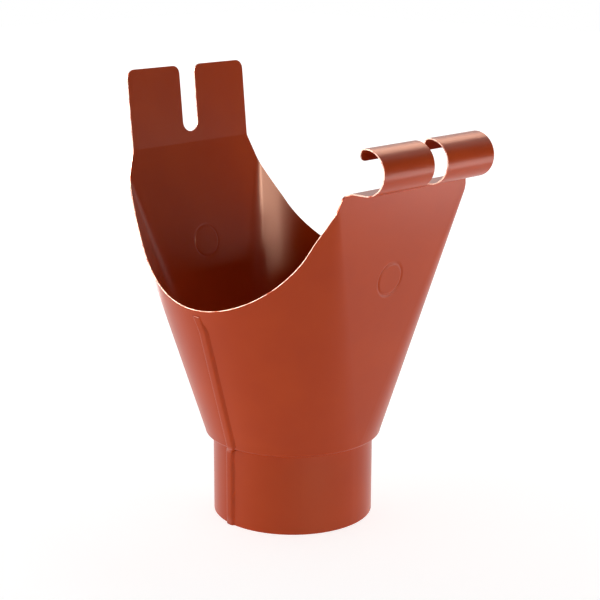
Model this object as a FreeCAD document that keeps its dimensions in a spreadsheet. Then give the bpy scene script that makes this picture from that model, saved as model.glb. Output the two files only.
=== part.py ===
import FreeCAD, Part
import math
import os

import Sketcher

# Gutter running outlet for a 150 mm half-round gutter and an 87 mm downpipe.
# It is one sheet: rolled into a funnel, joined by a lock seam down one side, pressed flat at the front
# and the rear, drawn in to a spigot at the foot, and folded into a slotted tab and two bead straps.
# Frame: origin at the centre of the spigot's bottom edge, +Z up, +X towards the bead straps, and the
# gutter runs along Y. Millimetres and degrees.

V = FreeCAD.Vector
doc = FreeCAD.newDocument("gutter_outlet")

SIZES = (
    ("gauge", 0.65, "thickness of the coated sheet"),
    ("spigot_diameter", 87.0, "outside of the spigot"),
    ("spigot_length", 44.2, "spigot below the shoulder"),
    ("shoulder_step", 4.5, "how far the foot of the funnel stands out from the spigot"),
    ("shoulder_rise", 2.4, "from the top of the spigot to the foot of the funnel"),
    ("shoulder_bend", 1.9, "outer bend radius of the shoulder"),
    ("funnel_height", 138.2, "from the foot of the funnel to the throat, where the creases end"),
    ("seat_radius", 73.7, "radius of the rim that follows the gutter's underside"),
    ("seat_rise", 14.2, "from the throat up to the gutter's axis"),
    ("seat_angle", 23.0, "angle below level at which the rim leaves its round"),
    ("seat_clearance", 0.9, "from the end of the rim to a panel's inner face"),
    ("panel_margin", 8.66, "from the end of the rim's round out to a panel at the throat"),
    ("side_bulge", 15.1, "how much further out than a panel a round side stands at the throat"),
    ("crease_bend", 6.0, "bend radius of a crease at the throat"),
    ("foot_angle", 1.5, "half the angle that a panel takes up at the shoulder"),
    ("strap_rise", 5.2, "from the throat up to the underside of the two bead straps"),
    ("strap_bend", 1.5, "bend radius between the front panel and the straps"),
    ("bead_offset", 10.5, "from the front panel at the throat to the middle of the gutter's bead"),
    ("bead_radius", 11.5, "outer radius of a strap round the bead"),
    ("lip_inset", 3.8, "from the middle of the bead back to a strap's lip"),
    ("lip_bend", 3.0, "outer bend radius of a strap's lip"),
    ("lip_drop", 3.4, "straight length of a strap's lip"),
    ("lip_corner", 3.2, "corner radius of a strap's lip"),
    ("strap_margin", 6.05, "from the side of the panel in to a strap's outer end"),
    ("strap_gap", 10.4, "gap between the two straps"),
    ("edge_drop", 0.5, "from the straps' underside down to the level edge beside them"),
    ("edge_margin", 1.25, "from the side of the panel in to the end of that edge"),
    ("edge_corner", 3.0, "corner radius of that edge"),
    ("front_flank_drop", 19.8, "from the throat down to where the front edge leaves the rim"),
    ("front_flank_spread", 6.45, "from the side of the panel out to the front edge there"),
    ("rear_flank_drop", 21.8, "from the throat down to where the rear edge leaves the rim"),
    ("rear_flank_spread", 6.75, "from the side of the panel out to the rear edge there"),
    ("tab_rise", 9.6, "from the throat up to where the tab leaves the rear panel"),
    ("tab_height", 42.9, "height of the tab"),
    ("tab_lean", 5.2, "lean of the tab away from upright"),
    ("tab_margin", 5.45, "from the side of the panel in to the side of the tab"),
    ("tab_corner", 5.0, "corner radius of the tab"),
    ("tab_fillet", 9.0, "inner radius where the rear edge turns up into the tab"),
    ("slot_width", 11.2, "slot in the tab"),
    ("slot_rise", 6.3, "from the foot of the tab up to the bottom of the slot"),
    ("slot_corner", 4.5, "corner radius at the mouth of the slot"),
    ("seam_width", 4.4, "lock seam, across its flat"),
    ("seam_ramp", 1.4, "lock seam, width over which its smooth side runs into the wall"),
    ("seam_proud", 1.3, "lock seam, how far it stands out"),
    ("seam_end_proud", 0.3, "lock seam, how far its flattened upper end stands out"),
    ("seam_spigot_place", -7.3, "left edge of the seam on the spigot"),
    ("seam_low_place", -1.6, "left edge of the seam above the shoulder"),
    ("seam_high_place", 0.8, "left edge of the seam where it starts to flatten"),
    ("seam_end_place", -1.6, "left edge of the seam at its upper end"),
    ("seam_high_drop", 12.3, "from the rim's lowest point down to where the seam starts to flatten"),
    ("seam_end_drop", 3.3, "from the rim's lowest point down to the seam's end"),
    ("overrun", 5.0, "how far a cutting shape runs past the sheet"),
    ("lip_overrun", 1.2, "how far a cutting shape runs past a strap's lip"),
)

# What follows from those sizes. The wall is measured level where it is cut level, so a leaning wall
# takes a little more than its gauge.
RELATIONS = [
    ("spigot_radius", "spigot_diameter / 2"),
    ("bore_radius", "spigot_radius - gauge"),
    ("shoulder_radius", "spigot_radius + shoulder_step"),
    ("shoulder_bore", "shoulder_radius - gauge"),
    ("funnel_level", "spigot_length + shoulder_rise"),
    ("throat_level", "funnel_level + funnel_height"),
    ("seat_level", "throat_level + seat_rise"),
    ("seat_turn_reach", "seat_radius * cos(seat_angle)"),
    ("rim_level", "seat_level - seat_radius"),
    ("panel_reach", "seat_turn_reach + panel_margin"),
    ("side_reach", "panel_reach + side_bulge"),
    ("bend_centre", "shoulder_radius - shoulder_bend"),
    ("bend_inner", "shoulder_bend - gauge"),
    ("panel_slope", "(panel_reach - shoulder_radius) / funnel_height"),
    ("panel_rise", "90 - atan(panel_slope) / 1 deg"),
    ("panel_run", "gauge * sqrt(1 + panel_slope ^ 2)"),
    ("side_slope", "(side_reach - shoulder_radius) / funnel_height"),
    ("side_run", "gauge * sqrt(1 + side_slope ^ 2)"),
    ("inner_reach", "panel_reach - panel_run"),
    ("inner_side", "side_reach - side_run"),
    ("inner_crease", "crease_bend - gauge"),
    ("crease_across", "panel_reach - crease_bend"),
    ("side_crease", "side_reach - crease_bend"),
    ("panel_half_width", "sqrt(side_crease ^ 2 - crease_across ^ 2)"),
    ("fan_angle", "atan2(panel_half_width; crease_across) / 1 deg"),
    ("inner_across", "inner_reach - inner_crease"),
    ("inner_half_width", "sqrt((inner_side - inner_crease) ^ 2 - inner_across ^ 2)"),
    ("inner_fan_angle", "atan2(inner_half_width; inner_across) / 1 deg"),
    ("foot_outer", "shoulder_radius * sin(foot_angle)"),
    ("foot_inner", "shoulder_bore * sin(foot_angle)"),
    ("fan_outer", "shoulder_radius * sin(fan_angle)"),
    ("fan_inner", "shoulder_bore * sin(inner_fan_angle)"),
    ("seat_end", "inner_reach - seat_clearance"),
    ("seat_top", "throat_level + gauge"),
    ("strap_level", "throat_level + strap_rise"),
    ("strap_inner_bend", "strap_bend + gauge"),
    ("bead_reach", "panel_reach + bead_offset"),
    ("bead_inner_radius", "bead_radius - gauge"),
    ("lip_reach", "bead_reach - lip_inset"),
    ("lip_inner_bend", "lip_bend - gauge"),
    ("lip_inner_reach", "lip_reach + gauge"),
    ("lip_foot", "strap_level + bead_radius - lip_drop"
                 " + sqrt((bead_radius - lip_bend) ^ 2 - (lip_inset - lip_bend) ^ 2)"),
    ("strap_half_width", "panel_half_width - strap_margin"),
    ("edge_level", "strap_level - edge_drop"),
    ("edge_half_width", "panel_half_width - edge_margin"),
    ("front_flank_level", "throat_level - front_flank_drop"),
    ("front_flank", "panel_half_width + front_flank_spread"),
    ("rear_flank_level", "throat_level - rear_flank_drop"),
    ("rear_flank", "panel_half_width + rear_flank_spread"),
    ("tab_foot", "throat_level + tab_rise"),
    ("tab_top", "tab_foot + tab_height"),
    ("tab_half_width", "panel_half_width - tab_margin"),
    ("edge_slant", "atan2(edge_level - front_flank_level; front_flank - edge_half_width) / 1 deg"),
    ("rear_slant", "atan2(tab_foot - rear_flank_level; rear_flank - tab_half_width) / 1 deg"),
    ("panel_out", "180 - panel_rise"),
    ("tab_out", "90 + tab_lean"),
    ("tab_run", "gauge / cos(tab_lean)"),
    ("front_lean", "180 - edge_slant"),
    ("front_rise", "edge_slant"),
    ("rear_lean", "180 - rear_slant"),
    ("rear_rise", "rear_slant"),
    ("slot_radius", "slot_width / 2"),
    ("slot_foot", "tab_foot + slot_rise"),
    ("slot_centre", "slot_foot + slot_radius"),
    ("gap_half", "strap_gap / 2"),
    ("lip_corner_level", "lip_foot + lip_corner"),
    ("lip_under", "lip_foot - lip_overrun"),
    ("strap_corner", "strap_half_width - lip_corner"),
    ("strap_beyond", "strap_half_width + lip_overrun"),
    ("gap_corner", "gap_half + lip_corner"),
    ("gap_beyond", "gap_half - lip_overrun"),
    ("margin_width", "front_flank + overrun"),
    ("margin_top", "tab_top + overrun"),
]

# The seam has an outline at each of these levels, with its root in the middle of the wall and its crown
# standing out of it. Each row gives the level, the left edge, and the radii of the root and the crown.
SEAM_SHIFT = ("seam_spigot_place + (seam_low_place - seam_spigot_place)"
              " * (seam_{0}_level - seam_collar_level) / (funnel_level - seam_collar_level)")
SEAM_WALL = "shoulder_radius + side_slope * (seam_{0}_level - funnel_level)"
SEAM_LEVELS = {
    "spigot": ("0", "seam_spigot_place", "spigot_radius - gauge / 2", "spigot_radius + seam_proud"),
    "collar": ("spigot_length - seam_proud", "seam_spigot_place",
               "spigot_radius - gauge / 2", "spigot_radius + seam_proud"),
    "ledge": ("spigot_length", SEAM_SHIFT, "spigot_radius - gauge / 2", "spigot_radius + 2 * seam_proud"),
    "turn": ("funnel_level - shoulder_bend", SEAM_SHIFT,
             "(spigot_radius + bend_centre - gauge) / 2", "bend_centre + seam_proud"),
    "bend": ("funnel_level - shoulder_bend / 2", SEAM_SHIFT,
             "bend_centre + sqrt((shoulder_bend - gauge / 2) ^ 2 - (shoulder_bend / 2) ^ 2)",
             "bend_centre + shoulder_bend * sqrt(3) / 2 + seam_proud"),
    "low": ("funnel_level", "seam_low_place", "shoulder_radius - gauge / 2", "shoulder_radius + seam_proud"),
    "high": ("rim_level - seam_high_drop", "seam_high_place",
             SEAM_WALL + " - gauge / 2", SEAM_WALL + " + seam_proud"),
    "end": ("rim_level - seam_end_drop", "seam_end_place",
            SEAM_WALL + " - gauge / 2", SEAM_WALL + " + seam_end_proud"),
}
for name, (level, place, root, crown) in SEAM_LEVELS.items():
    stem = f"seam_{name}"
    RELATIONS.append((f"{stem}_level", level))
    if place != f"{stem}_place":
        RELATIONS.append((f"{stem}_place", place.format(name)))
    RELATIONS.append((f"{stem}_flat", f"{stem}_place + seam_width"))
    RELATIONS.append((f"{stem}_end", f"{stem}_flat + seam_ramp"))
    RELATIONS.append((f"{stem}_root", root.format(name)))
    RELATIONS.append((f"{stem}_crown", crown.format(name)))
    for corner, radius, across in (("left_root", "root", "place"), ("left_crown", "crown", "place"),
                                   ("right_crown", "crown", "flat"), ("right_root", "root", "end")):
        RELATIONS.append((f"{stem}_{corner}", f"-sqrt({stem}_{radius} ^ 2 - {stem}_{across} ^ 2)"))

sheet = doc.addObject("Spreadsheet::Sheet", "sizes")
for row, (alias, number, note) in enumerate(SIZES, 1):
    sheet.set(f"A{row}", alias)
    sheet.set(f"B{row}", str(number))
    sheet.setAlias(f"B{row}", alias)
    sheet.set(f"C{row}", note)
for row, (alias, relation) in enumerate(RELATIONS, len(SIZES) + 1):
    sheet.set(f"A{row}", alias)
    sheet.set(f"B{row}", f"={relation}")
    sheet.setAlias(f"B{row}", alias)
    doc.recompute()


def size(alias):
    """A cell of the sheet as a plain number."""
    return float(sheet.get(alias))


body = doc.addObject("PartDesign::Body", "outlet_body")
body.Label = "outlet_body"
START, END, CENTRE = range(1, 4)
ORIGIN = (-1, 1)
X_AXIS, Y_AXIS = -1, -2


def sketch_on(role, name, level=None):
    """A sketch on one of the body's planes, lifted off it by a cell of the sheet."""
    sketch = body.newObject("Sketcher::SketchObject", name)
    plane = next(item for item in body.Origin.OriginFeatures if item.Role == role)
    sketch.AttachmentSupport = [(plane, "")]
    sketch.MapMode = "FlatFace"
    if level:
        sketch.setExpression("AttachmentOffset.Base.z", f"sizes.{level}")
    return sketch


def line(sketch, start, end):
    """A line between two points (x, y) of a sketch."""
    return sketch.addGeometry(Part.LineSegment(V(*start, 0), V(*end, 0)), False)


def arc(sketch, centre, radius, start, end):
    """An arc of a sketch, anticlockwise from one angle to another."""
    circle = Part.Circle(V(*centre, 0), V(0, 0, 1), radius)
    return sketch.addGeometry(Part.ArcOfCircle(circle, math.radians(start), math.radians(end)), False)


def tie(sketch, kind, *where):
    """A constraint that has no size."""
    sketch.addConstraint(Sketcher.Constraint(kind, *where))


def drive(sketch, kind, *where, by):
    """A constraint whose size is a cell of the sheet."""
    number = math.radians(size(by)) if kind == "Angle" else size(by)
    index = sketch.addConstraint(Sketcher.Constraint(kind, *where, number))
    sketch.setExpression(f"Constraints[{index}]", f"sizes.{by}")


def place(sketch, geometry, point, across=None, up=None, side=1):
    """Puts a point at distances from the origin. A side of -1 measures the first one backwards."""
    if across:
        ends = ORIGIN + (geometry, point) if side > 0 else (geometry, point) + ORIGIN
        drive(sketch, "DistanceX", *ends, by=across)
    if up:
        drive(sketch, "DistanceY", *ORIGIN, geometry, point, by=up)


def join(sketch, pieces, kind="Coincident"):
    """Joins each piece's end to the next one's start, all the way round."""
    for piece, following in zip(pieces, pieces[1:] + pieces[:1]):
        tie(sketch, kind, piece, END, following, START)


def outline(sketch, points):
    """A closed outline of straight lines, each corner placed by its (across, up, side) cells."""
    corners = [(side * size(across), size(up)) for across, up, side in points]
    sides = [line(sketch, a, b) for a, b in zip(corners, corners[1:] + corners[:1])]
    join(sketch, sides)
    for edge, (across, up, side) in zip(sides, points):
        place(sketch, edge, START, across, up, side)
    return sides


def feature(kind, name, profile, length=None, **settings):
    """A feature of the body made from a sketch. A cut has to take material away, the others to add it."""
    before = 0.0 if body.Shape.isNull() else body.Shape.Volume
    made = body.newObject(f"PartDesign::{kind}", name)
    made.Profile = profile
    for setting, chosen in settings.items():
        setattr(made, setting, chosen)
    if length:
        made.setExpression("Length", length)
    doc.recompute()
    gained = body.Shape.Volume - before
    cuts = kind in ("Pocket", "Groove", "SubtractiveLoft")
    if gained >= 0 if cuts else gained <= 0:
        raise RuntimeError(f"{name} changed the volume by {gained:.3f} cubic millimetres")


def throat_section(name, reach, side, crease):
    """Level section at the throat: two flat panels, four creases and two sides that are round about the
    axis."""
    sketch = sketch_on("XY_Plane", name, "throat_level")
    bend, round_side = size(crease), size(side)
    corner = size(reach) - bend
    wide = math.sqrt((round_side - bend) ** 2 - corner ** 2)
    fan = math.degrees(math.atan2(wide, corner))
    front = line(sketch, (size(reach), -wide), (size(reach), wide))
    crease_1 = arc(sketch, (corner, wide), bend, 0, fan)
    side_1 = arc(sketch, (0, 0), round_side, fan, 90)
    side_2 = arc(sketch, (0, 0), round_side, 90, 180 - fan)
    crease_2 = arc(sketch, (-corner, wide), bend, 180 - fan, 180)
    rear = line(sketch, (-size(reach), wide), (-size(reach), -wide))
    crease_3 = arc(sketch, (-corner, -wide), bend, 180, 180 + fan)
    side_3 = arc(sketch, (0, 0), round_side, 180 + fan, 270)
    side_4 = arc(sketch, (0, 0), round_side, 270, 360 - fan)
    crease_4 = arc(sketch, (corner, -wide), bend, 360 - fan, 360)
    for pieces in ((side_2, crease_2, rear, crease_3, side_3), (side_4, crease_4, front, crease_1, side_1)):
        for piece, following in zip(pieces, pieces[1:]):
            tie(sketch, "Tangent", piece, END, following, START)
    drive(sketch, "Radius", crease_1, by=crease)
    for other in (crease_2, crease_3, crease_4):
        tie(sketch, "Equal", crease_1, other)
    for half, following in ((side_1, side_2), (side_3, side_4)):
        tie(sketch, "Coincident", half, END, following, START)
        tie(sketch, "PointOnObject", half, END, Y_AXIS)
        drive(sketch, "Radius", half, by=side)
        for piece in (half, following):
            tie(sketch, "Coincident", piece, CENTRE, *ORIGIN)
    for panel, facing in ((front, 1), (rear, -1)):
        tie(sketch, "Vertical", panel)
        place(sketch, panel, START, across=reach, side=facing)
    return sketch


def foot_section(name, radius, fan_turn, foot_rise, fan_rise):
    """Level section at the shoulder: a circle parted where the panels, creases and sides begin."""
    sketch = sketch_on("XY_Plane", name, "funnel_level")
    foot, fan = size("foot_angle"), size(fan_turn)
    turns = [-foot, foot, fan, 90, 180 - fan, 180 - foot, 180 + foot, 180 + fan, 270, 360 - fan, 360 - foot]
    arcs = [arc(sketch, (0, 0), size(radius), a, b) for a, b in zip(turns, turns[1:])]
    join(sketch, arcs)
    for piece in arcs[:-1]:
        tie(sketch, "Coincident", piece, CENTRE, *ORIGIN)
    tie(sketch, "Equal", arcs[0], arcs[-1])
    drive(sketch, "Radius", arcs[0], by=radius)
    place(sketch, arcs[0], END, up=foot_rise)
    place(sketch, arcs[1], END, up=fan_rise)
    tie(sketch, "PointOnObject", arcs[2], END, Y_AXIS)
    tie(sketch, "Horizontal", arcs[3], END, arcs[1], END)
    tie(sketch, "Horizontal", arcs[4], END, arcs[0], END)
    tie(sketch, "Vertical", arcs[5], END, arcs[4], END)
    tie(sketch, "Vertical", arcs[6], END, arcs[3], END)
    tie(sketch, "PointOnObject", arcs[7], END, Y_AXIS)
    tie(sketch, "Vertical", arcs[8], END, arcs[1], END)
    tie(sketch, "Vertical", arcs[9], END, arcs[0], END)
    return sketch


def funnel():
    """The funnel. Each line of its wall joins points that face the same way on both sections, as on a
    sheet that is only bent, so the panels are flat and the creases open out into cones."""
    foot = foot_section("foot_outside", "shoulder_radius", "fan_angle", "foot_outer", "fan_outer")
    throat = throat_section("throat_outside", "panel_reach", "side_reach", "crease_bend")
    feature("AdditiveLoft", "funnel_outside", foot, Sections=[throat], Ruled=True)
    foot = foot_section("foot_inside", "shoulder_bore", "inner_fan_angle", "foot_inner", "fan_inner")
    throat = throat_section("throat_inside", "inner_reach", "inner_side", "inner_crease")
    feature("SubtractiveLoft", "funnel_inside", foot, Sections=[throat], Ruled=True)


def bent_strips(sketch, centre, radius, count):
    """A small bend drawn as narrow straight strips whose ends lie on its true arc. Returns the arc and
    the strips, from the bottom up."""
    bend = arc(sketch, centre, radius, 270, 360)
    sketch.toggleConstruction(bend)
    turns = [math.radians(270 + 90 * step / count) for step in range(count + 1)]
    points = [(centre[0] + radius * math.cos(turn), centre[1] + radius * math.sin(turn)) for turn in turns]
    strips = [line(sketch, first, second) for first, second in zip(points, points[1:])]
    tie(sketch, "Coincident", bend, START, strips[0], START)
    tie(sketch, "Coincident", bend, END, strips[-1], END)
    for strip, following in zip(strips, strips[1:]):
        tie(sketch, "Coincident", strip, END, following, START)
        tie(sketch, "PointOnObject", strip, END, bend)
        tie(sketch, "Equal", strip, following)
    tie(sketch, "Vertical", bend, START, bend, CENTRE)
    tie(sketch, "Horizontal", bend, END, bend, CENTRE)
    return bend, strips


def spigot():
    """The spigot and the shoulder above it, turned about the axis."""
    sketch = sketch_on("XZ_Plane", "spigot_profile")
    outer, inner, top = size("spigot_radius"), size("bore_radius"), size("spigot_length")
    across, level, bend = size("bend_centre"), size("funnel_level"), size("shoulder_bend")
    gauge = size("gauge")
    wall = line(sketch, (outer, 0), (outer, top))
    ledge = line(sketch, (outer, top), (across, level - bend))
    turn, strips = bent_strips(sketch, (across, level), bend, 3)
    cap = line(sketch, (across + bend, level), (across + bend - gauge, level))
    inner_turn, inner_strips = bent_strips(sketch, (across, level), bend - gauge, 2)
    inner_ledge = line(sketch, (across, level - bend + gauge), (inner, top + gauge))
    inner_wall = line(sketch, (inner, top + gauge), (inner, 0))
    foot = line(sketch, (inner, 0), (outer, 0))
    for first, second in ((wall, ledge), (ledge, strips[0]), (strips[-1], cap), (inner_ledge, inner_wall),
                          (inner_wall, foot), (foot, wall)):
        tie(sketch, "Coincident", first, END, second, START)
    tie(sketch, "Coincident", cap, END, inner_strips[-1], END)
    tie(sketch, "Coincident", inner_strips[0], START, inner_ledge, START)
    tie(sketch, "Coincident", turn, CENTRE, inner_turn, CENTRE)
    place(sketch, turn, CENTRE, across="bend_centre", up="funnel_level")
    drive(sketch, "Radius", turn, by="shoulder_bend")
    drive(sketch, "Radius", inner_turn, by="bend_inner")
    place(sketch, wall, START, across="spigot_radius")
    place(sketch, wall, END, up="spigot_length")
    tie(sketch, "Vertical", wall)
    tie(sketch, "PointOnObject", wall, START, X_AXIS)
    tie(sketch, "Horizontal", foot)
    place(sketch, foot, START, across="bore_radius")
    tie(sketch, "Vertical", inner_wall)
    tie(sketch, "Parallel", ledge, inner_ledge)
    feature("Revolution", "spigot", sketch, ReferenceAxis=(sketch, ["V_Axis"]), Angle=360.0)


def seat():
    """The two sides are cut to the gutter's underside. The cut stays inside the panels."""
    sketch = sketch_on("XZ_Plane", "seat_profile")
    radius, level, turn = size("seat_radius"), size("seat_level"), size("seat_angle")
    reach, end, top = size("seat_turn_reach"), size("seat_end"), size("seat_top")
    drop = level - radius * math.sin(math.radians(turn))
    trough = arc(sketch, (0, level), radius, 180 + turn, 360 - turn)
    front = line(sketch, (reach, drop), (end, top))
    mouth = line(sketch, (end, top), (-end, top))
    rear = line(sketch, (-end, top), (-reach, drop))
    join(sketch, [trough, front, mouth, rear])
    tie(sketch, "PointOnObject", trough, CENTRE, Y_AXIS)
    place(sketch, trough, CENTRE, up="seat_level")
    drive(sketch, "Radius", trough, by="seat_radius")
    tie(sketch, "Horizontal", trough, START, trough, END)
    place(sketch, trough, END, across="seat_turn_reach")
    place(sketch, mouth, START, "seat_end", "seat_top")
    place(sketch, mouth, END, "seat_end", "seat_top", side=-1)
    feature("Pocket", "gutter_seat", sketch, Type="ThroughAll", Midplane=True)


def front_fold():
    """The front panel above the throat, bent out level and rolled round the gutter's bead."""
    sketch = sketch_on("XZ_Plane", "strap_profile")
    reach, level, gauge = size("panel_reach"), size("throat_level"), size("gauge")
    under, bend, roll, lip = size("strap_level"), size("strap_bend"), size("bead_radius"), size("lip_bend")
    bead, back, foot = size("bead_reach"), size("lip_reach"), size("lip_foot")
    slope, rise = size("panel_slope"), size("panel_rise")
    stretch = math.hypot(1, slope)
    hinge = (reach + slope * (under - bend - level) + bend * stretch, under - bend)
    middle = (bead, under + roll)
    lip_centre = (back + lip, foot + size("lip_drop"))
    spread = math.degrees(math.atan2(lip_centre[1] - middle[1], lip_centre[0] - middle[0]))

    def skin(depth):
        """One face of the sheet, at a depth in from its outside."""
        up = line(sketch, (reach - depth * stretch, level),
                  (hinge[0] - (bend + depth) / stretch, hinge[1] + slope * (bend + depth) / stretch))
        fold = arc(sketch, hinge, bend + depth, 90, 90 + rise)
        flat = line(sketch, (hinge[0], under + depth), (bead, under + depth))
        hook = arc(sketch, middle, roll - depth, 270, 360 + spread)
        curl = arc(sketch, lip_centre, lip - depth, spread, 180)
        drop = line(sketch, (back + depth, lip_centre[1]), (back + depth, foot))
        tie(sketch, "Tangent", up, END, fold, END)
        tie(sketch, "Tangent", fold, START, flat, START)
        tie(sketch, "Tangent", flat, END, hook, START)
        tie(sketch, "Tangent", hook, END, curl, START)
        tie(sketch, "Tangent", curl, END, drop, START)
        tie(sketch, "Vertical", drop)
        return up, fold, flat, hook, curl, drop

    up, fold, flat, hook, curl, drop = skin(0)
    place(sketch, up, START, "panel_reach", "throat_level")
    drive(sketch, "Angle", up, by="panel_rise")
    drive(sketch, "Radius", fold, by="strap_bend")
    tie(sketch, "Horizontal", flat)
    place(sketch, flat, START, up="strap_level")
    place(sketch, hook, CENTRE, across="bead_reach")
    drive(sketch, "Radius", hook, by="bead_radius")
    drive(sketch, "Radius", curl, by="lip_bend")
    place(sketch, drop, END, "lip_reach", "lip_foot")
    in_up, in_fold, in_flat, in_hook, in_curl, in_drop = skin(gauge)
    tie(sketch, "Parallel", up, in_up)
    tie(sketch, "Coincident", fold, CENTRE, in_fold, CENTRE)
    drive(sketch, "Radius", in_fold, by="strap_inner_bend")
    tie(sketch, "Coincident", hook, CENTRE, in_hook, CENTRE)
    drive(sketch, "Radius", in_hook, by="bead_inner_radius")
    drive(sketch, "Radius", in_curl, by="lip_inner_bend")
    place(sketch, in_drop, END, across="lip_inner_reach")
    root = line(sketch, (reach - gauge * stretch, level), (reach, level))
    edge = line(sketch, (back, foot), (back + gauge, foot))
    for cap, first, first_end, second, second_end in (
            (root, in_up, START, up, START), (edge, drop, END, in_drop, END)):
        tie(sketch, "Coincident", cap, START, first, first_end)
        tie(sketch, "Coincident", cap, END, second, second_end)
        tie(sketch, "Horizontal", cap)
    feature("Pad", "front_fold", sketch, "2 * sizes.panel_half_width", Midplane=True)


def rear_fold():
    """The rear panel above the throat and the tab, bent a little nearer to upright."""
    sketch = sketch_on("XZ_Plane", "tab_profile")
    reach, inner, level = -size("panel_reach"), -size("inner_reach"), size("throat_level")
    knee, top = size("tab_foot"), size("tab_top")
    knee_reach = reach - size("panel_slope") * (knee - level)
    top_reach = knee_reach - math.tan(math.radians(size("tab_lean"))) * (top - knee)
    run = size("tab_run")
    low = line(sketch, (reach, level), (knee_reach, knee))
    high = line(sketch, (knee_reach, knee), (top_reach, top))
    crest = line(sketch, (top_reach, top), (top_reach + run, top))
    in_high = line(sketch, (top_reach + run, top), (knee_reach + run, knee))
    in_low = line(sketch, (knee_reach + run, knee), (inner, level))
    root = line(sketch, (inner, level), (reach, level))
    join(sketch, [low, high, crest, in_high, in_low, root])
    place(sketch, low, START, "panel_reach", "throat_level", side=-1)
    place(sketch, root, START, across="inner_reach", side=-1)
    tie(sketch, "Horizontal", root)
    tie(sketch, "Horizontal", crest)
    tie(sketch, "Parallel", low, in_low)
    tie(sketch, "Parallel", high, in_high)
    place(sketch, low, END, up="tab_foot")
    place(sketch, high, END, up="tab_top")
    drive(sketch, "DistanceX", crest, START, crest, END, by="tab_run")
    drive(sketch, "Angle", low, by="panel_out")
    drive(sketch, "Angle", high, by="tab_out")
    feature("Pad", "rear_fold", sketch, "2 * sizes.panel_half_width", Midplane=True)


def front_edge():
    """Trims the front fold: slanted flanks up from the rim, rounded corners and the gap between straps."""
    sketch = sketch_on("YZ_Plane", "front_outline")
    low, level, top = size("front_flank_level"), size("edge_level"), size("margin_top")
    flank, tip = size("front_flank"), size("edge_half_width")
    strap, margin = size("strap_half_width"), size("margin_width")
    radius, slant = size("edge_corner"), size("edge_slant")
    facing = 90 - slant
    across = tip - radius * math.tan(math.radians(slant / 2))
    shoulder = across + radius * math.sin(math.radians(slant))
    shoulder_up = level - radius + radius * math.cos(math.radians(slant))
    for side in (1, -1):
        turn = (facing, 90) if side > 0 else (90, 180 - facing)
        first, last = (START, END) if side > 0 else (END, START)
        corner = arc(sketch, (side * across, level - radius), radius, *turn)
        rim = line(sketch, (side * margin, low), (side * flank, low))
        rise = line(sketch, (side * flank, low), (side * shoulder, shoulder_up))
        ledge = line(sketch, (side * across, level), (side * strap, level))
        strap_side = line(sketch, (side * strap, level), (side * strap, top))
        over = line(sketch, (side * strap, top), (side * margin, top))
        outside = line(sketch, (side * margin, top), (side * margin, low))
        tie(sketch, "Tangent", rise, END, corner, first)
        tie(sketch, "Tangent", corner, last, ledge, START)
        for before, after in ((rim, rise), (ledge, strap_side), (strap_side, over), (over, outside),
                              (outside, rim)):
            tie(sketch, "Coincident", before, END, after, START)
        drive(sketch, "Radius", corner, by="edge_corner")
        place(sketch, rim, START, "margin_width", "front_flank_level", side)
        place(sketch, rise, START, "front_flank", "front_flank_level", side)
        drive(sketch, "Angle", rise, by="front_rise" if side < 0 else "front_lean")
        place(sketch, strap_side, START, "strap_half_width", "edge_level", side)
        tie(sketch, "Horizontal", ledge)
        place(sketch, over, START, "strap_half_width", "margin_top", side)
        place(sketch, outside, START, "margin_width", "margin_top", side)
    outline(sketch, (("gap_half", "edge_level", 1), ("gap_half", "margin_top", 1),
                     ("gap_half", "margin_top", -1), ("gap_half", "edge_level", -1)))
    feature("Pocket", "front_edge", sketch, Type="ThroughAll", Reversed=True)


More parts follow.
